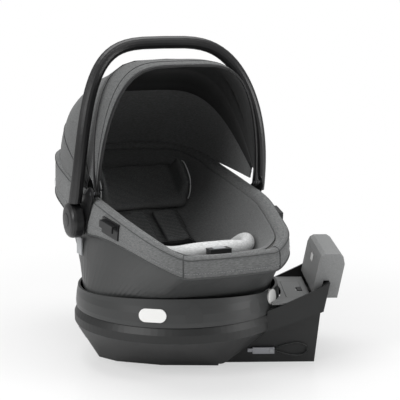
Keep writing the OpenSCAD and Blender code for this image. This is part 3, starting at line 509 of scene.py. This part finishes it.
# what each pad is made from: its skin's voxel, rounds of smoothing, how far it swells, how full it is
seatLining = dict(node="seat_cover", body="carrier", slot="smooth_fabric",
                  voxel=0, rounds=0, puff=0.0, fill=0.4)
bodyPad = dict(node="body_insert", body="carrier", slot="dark_fabric",
               voxel=4 * mm, rounds=8, puff=1.0 * mm, fill=0.7)
seatPad = dict(node="seat_insert", body="carrier", slot="smooth_fabric",
               voxel=4 * mm, rounds=6, puff=0.8 * mm, fill=0.7)
legBolsters = dict(node="leg_bolsters", body="carrier", slot="dark_fabric",
                   voxel=3 * mm, rounds=5, puff=1.0 * mm, fill=0.7)
headPad = dict(node="head_support", body="head_support", slot="dark_fabric",
               voxel=4 * mm, rounds=6, puff=1.2 * mm, fill=0.7)
strapSleeves = dict(node="strap_pads", body="carrier", slot="dark_fabric",
                    voxel=3 * mm, rounds=4, puff=0.3 * mm, fill=0.7)
softened("seatLiningCloth", seatLining, wallCloth)
softened("bodyPad", bodyPad, ribKnit)
softened("seatPad", seatPad, ribKnit)
softened("legBolsterPads", legBolsters, wallCloth)
softened("headPad", headPad, ribKnit)
softened("strapSleeves", strapSleeves, ribKnit)
print("seat ready")

crescent = {
    # half the roll from its tail to the foot: across, along, radius in mm
    "keys": [(0.104, 0.0, 3), (0.112, -0.06, 11), (0.1, -0.125, 14), (0.055, -0.17, 15)],
    "middle": (0.0, -0.18, 15),
    "points": 90, "sides": 20,
    "sink": 0.3,  # share of its radius that the roll sinks by
    "rise": 20 * mm,  # above the seat
    "evening": 6}  # rounds that take the steps out of its path
seatTree = treeOf("seat_cover", "seat_insert", "body_insert")

# the pale roll along the foot edge of the lower pad, rising at both sides
leftKeys = [(-x, y, radius) for x, y, radius in crescent["keys"]]
rollKeys = np.array(leftKeys + [crescent["middle"]] + crescent["keys"][::-1])
rollLine = curveThrough(rollKeys * [1, 1, mm], crescent["points"])
rollWidth = rollLine[:, 2]
crescentPath = np.array([landed(seatTree, x, y, lift=width * (1 - crescent["sink"]) + crescent["rise"])
                         for x, y, width in rollLine])
for _ in range(crescent["evening"]):
    crescentPath[1:-1] = 0.25 * crescentPath[:-2] + 0.5 * crescentPath[1:-1] + 0.25 * crescentPath[2:]
crescentPiece = newPiece("paleCrescent", *tube(crescentPath, rollWidth, sides=crescent["sides"]), [paleCloth],
                         "smooth_fabric", "carrier")

# the dark cushion inside the crescent dips towards the hips
cushion = {"rows": 14, "hipsY": -0.015, "overHips": 6 * mm, "dip": 16 * mm, "proud": 3 * mm, "thick": 12 * mm}
hips = landed(seatTree, 0.0, cushion["hipsY"], lift=cushion["overHips"])
share = np.linspace(0, 1, cushion["rows"])[:, None, None]
cushionTop = crescentPath[None] * (1 - share) + hips * share
inward = share[..., 0]
cushionTop[..., 2] += cushion["proud"] - cushion["dip"] * np.sin(np.pi * inward) * (1 - 0.3 * inward)
cushionUnder = cushionTop - np.array([0, 0, cushion["thick"]])
upper = gridFaces(cushion["rows"], crescent["points"])
lower = upper[:, ::-1] + cushion["rows"] * crescent["points"]
cushionPoints = np.concatenate([cushionTop.reshape(-1, 3), cushionUnder.reshape(-1, 3)])
newPiece("lowerCushion", cushionPoints, np.concatenate([upper, lower]), [ribKnit], "dark_fabric", "carrier")

# white piping follows the front edge of each wing of the head support
headPiping = {
    "recline": np.radians(41),
    "y": 0.236,
    "lowCorner": (0.060, 0.005),  # of the support, from its middle: down the back, and out of it
    "radius": 1.3 * mm,
    # half the line, from the head end to the middle: across, up the back, out of the back
    "keys": [(0.104, 0.048, 0.018), (0.1045, 0.043, 0.040), (0.1045, 0.022, 0.0605)]}
cosine, sine = np.cos(headPiping["recline"]), np.sin(headPiping["recline"])
cornerDown, cornerOut = headPiping["lowCorner"]
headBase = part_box("head_support")[0][2] + cornerDown * sine - cornerOut * cosine


# a point in the head support's own slope: x across, y up the back, z out of it
def onBack(x, y, z):
    return np.array([x, headPiping["y"] + y * cosine - z * sine, headBase + y * sine + z * cosine])


pipeKeys = headPiping["keys"] + [(x, -y, z) for x, y, z in headPiping["keys"][::-1]]
pipes = [tube(curveThrough([onBack(side * x, y, z) for x, y, z in pipeKeys], 50), headPiping["radius"])
         for side in (-1, 1)]
newPiece("headPiping", *joined(pipes), [piping], "dark_fabric", "head_support")

# the finish of each CAD node that stays
finishes = {
    "carrier_shell": shellGrey, "foam_liner": foamWhite, "shoulder_straps": webCloth,
    "crotch_strap": webCloth, "buckle": blackSatin, "buckle_button": redGloss, "chest_clip": blackSatin,
    "harness_adjuster": blackSatin, "adjuster_button": plateGrey, "belt_guides": blackSatin,
    "side_plates": plateGrey, "latch_bars": steel, "side_bracket_left": blackSatin,
    "side_bracket_right": blackSatin, "pivot_pins": steel, "detent_gears": steel, "canopy_pins": steel,
    "canopy_mid_bow": blackSatin, "canopy_front_bow": blackSatin, "handle_bar": blackSatin,
    "handle_hub_left": blackSatin, "handle_hub_right": blackSatin, "handle_button_left": blackSatin,
    "handle_button_right": blackSatin, "release_lever": plateGrey, "release_housing": shellGrey,
    "turntable_plate": charcoal, "turntable_ring": ringGrey, "dock": charcoal, "rotate_button": glossWhite,
    "lock_indicator": glossWhite, "base_floor": charcoal, "base_shell": charcoal, "base_body": charcoal,
    "base_frame": steel, "bearing_race": steel, "bearing_balls": steel, "base_panel": lightGrey,
    "tensioner_door": lightGrey, "tensioner_latch": blackSatin, "recline_lever": plateGrey,
    "base_feet": rubber, "anti_rebound_bar": lightGrey, "bar_button": glossWhite, "latch_connectors": steel,
    "connector_button_near": plateGrey, "connector_button_far": plateGrey, "latch_webbing": webCloth}
for name, finish in finishes.items():
    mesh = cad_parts[name].data
    mesh.materials.clear()
    mesh.materials.append(finish)
# nodes shaded smooth, with their corners kept
rounded = {"nodes": ("carrier_shell", "handle_bar", "handle_hub_left", "handle_hub_right", "turntable_ring",
                     "base_shell", "canopy_front_bow", "canopy_mid_bow"), "corner": np.radians(32)}
for name in rounded["nodes"]:
    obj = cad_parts[name]
    obj.data.polygons.foreach_set("use_smooth", [True] * len(obj.data.polygons))
    obj.modifiers.new("edges", "EDGE_SPLIT").split_angle = rounded["corner"]
print("finishes ready")

# a white floor that keeps the shadow near the object and is plain white to the camera far off
studio = {
    "floorSize": 6.0, "floorColour": "f4f4f4", "floorRough": 0.25, "floorSpec": 0.35,
    "shadowTo": 0.35, "whiteFrom": 1.1,  # distances from the middle
    "nearWhite": 0.5,  # share of plain white at the first of them
    "worldLight": 0.45,
    "aim": (0.0, 0.0, 0.3),
    # lamp: place, size across and up, watts
    "lamps": {"leftKey": ((-1.9, -0.7, 1.5), (1.0, 1.6), 34),
              "rightFill": ((1.6, -1.3, 0.9), (0.8, 1.4), 16),
              "topLight": ((0.1, 0.3, 2.2), (1.8, 1.4), 26)}}
floorMesh = bpy.data.meshes.new("floor")
corners = [(x * studio["floorSize"], y * studio["floorSize"], 0)
           for x, y in ((-1, -1), (1, -1), (1, 1), (-1, 1))]
floorMesh.from_pydata(corners, [], [(0, 1, 2, 3)])
floor = bpy.data.objects.new("floor", floorMesh)
scene.collection.objects.link(floor)
floorFinish, floorTree, floorShader, floorWhere = newMaterial(
    "white studio floor", studio["floorColour"], studio["floorRough"], spec=studio["floorSpec"])
floorFar = addNode(floorTree, "ShaderNodeVectorMath", (-700, 200), [(floorWhere, "Vector")], operation="LENGTH")
floorShare = addNode(floorTree, "ShaderNodeMapRange", (-500, 200), [(floorFar.outputs["Value"], "Value")],
                     interpolation_type="SMOOTHSTEP", From_Min=studio["shadowTo"], From_Max=studio["whiteFrom"],
                     To_Min=studio["nearWhite"], To_Max=1.0)
floorPath = addNode(floorTree, "ShaderNodeLightPath", (-700, 500))
floorFactor = addNode(floorTree, "ShaderNodeMath", (-300, 300), operation="MULTIPLY", links=[
    (floorShare.outputs["Result"], 0), (floorPath.outputs["Is Camera Ray"], 1)])
floorGlow = addNode(floorTree, "ShaderNodeEmission", (-300, 500), Color=(1, 1, 1, 1), Strength=1.0)
addNode(floorTree, "ShaderNodeMixShader", (300, 300),
        [(floorFactor.outputs[0], 0), (floorShader.outputs[0], 1), (floorGlow.outputs[0], 2)],
        [(0, floorTree.nodes["Material Output"].inputs["Surface"])])
floorMesh.materials.append(floorFinish)

# a soft even world light, which the camera sees as white
world = bpy.data.worlds.new("studio")
scene.world = world
world.use_nodes = True
worldTree = world.node_tree
worldTree.nodes.clear()
lightPath = addNode(worldTree, "ShaderNodeLightPath", (-700, 0))
soft = addNode(worldTree, "ShaderNodeBackground", (-300, 100),
               Color=(1, 1, 1, 1), Strength=studio["worldLight"])
white = addNode(worldTree, "ShaderNodeBackground", (-300, -100), Color=(1, 1, 1, 1), Strength=1.0)
worldMix = addNode(worldTree, "ShaderNodeMixShader", (-100, 0), [
    (lightPath.outputs["Is Camera Ray"], 0), (soft.outputs[0], 1), (white.outputs[0], 2)])
addNode(worldTree, "ShaderNodeOutputWorld", (100, 0), [(worldMix.outputs[0], 0)])


# the turn that aims a lamp or camera from one point at another
def aimed(place, target):
    return (Vector(target) - Vector(place)).to_track_quat("-Z", "Y").to_euler()


for name, (place, size, power) in studio["lamps"].items():
    lamp = bpy.data.lights.new(name, "AREA")
    lamp.shape = "RECTANGLE"
    lamp.size, lamp.size_y = size
    lamp.energy = power
    lampObject = bpy.data.objects.new(name, lamp)
    scene.collection.objects.link(lampObject)
    lampObject.location = place
    lampObject.rotation_euler = aimed(place, studio["aim"])

view = {"place": (-0.93195, -2.23554, 0.74613), "target": (0.05036, 0.0, 0.31728), "lens": 107.89, "sensor": 36}
camera = bpy.data.cameras.new("camera")
camera.lens = view["lens"]
camera.sensor_width = view["sensor"]
cameraObject = bpy.data.objects.new("camera", camera)
scene.collection.objects.link(cameraObject)
cameraObject.location = view["place"]
cameraObject.rotation_euler = aimed(view["place"], view["target"])
scene.camera = cameraObject
scene.view_settings.view_transform = "Standard"
print("stage ready")
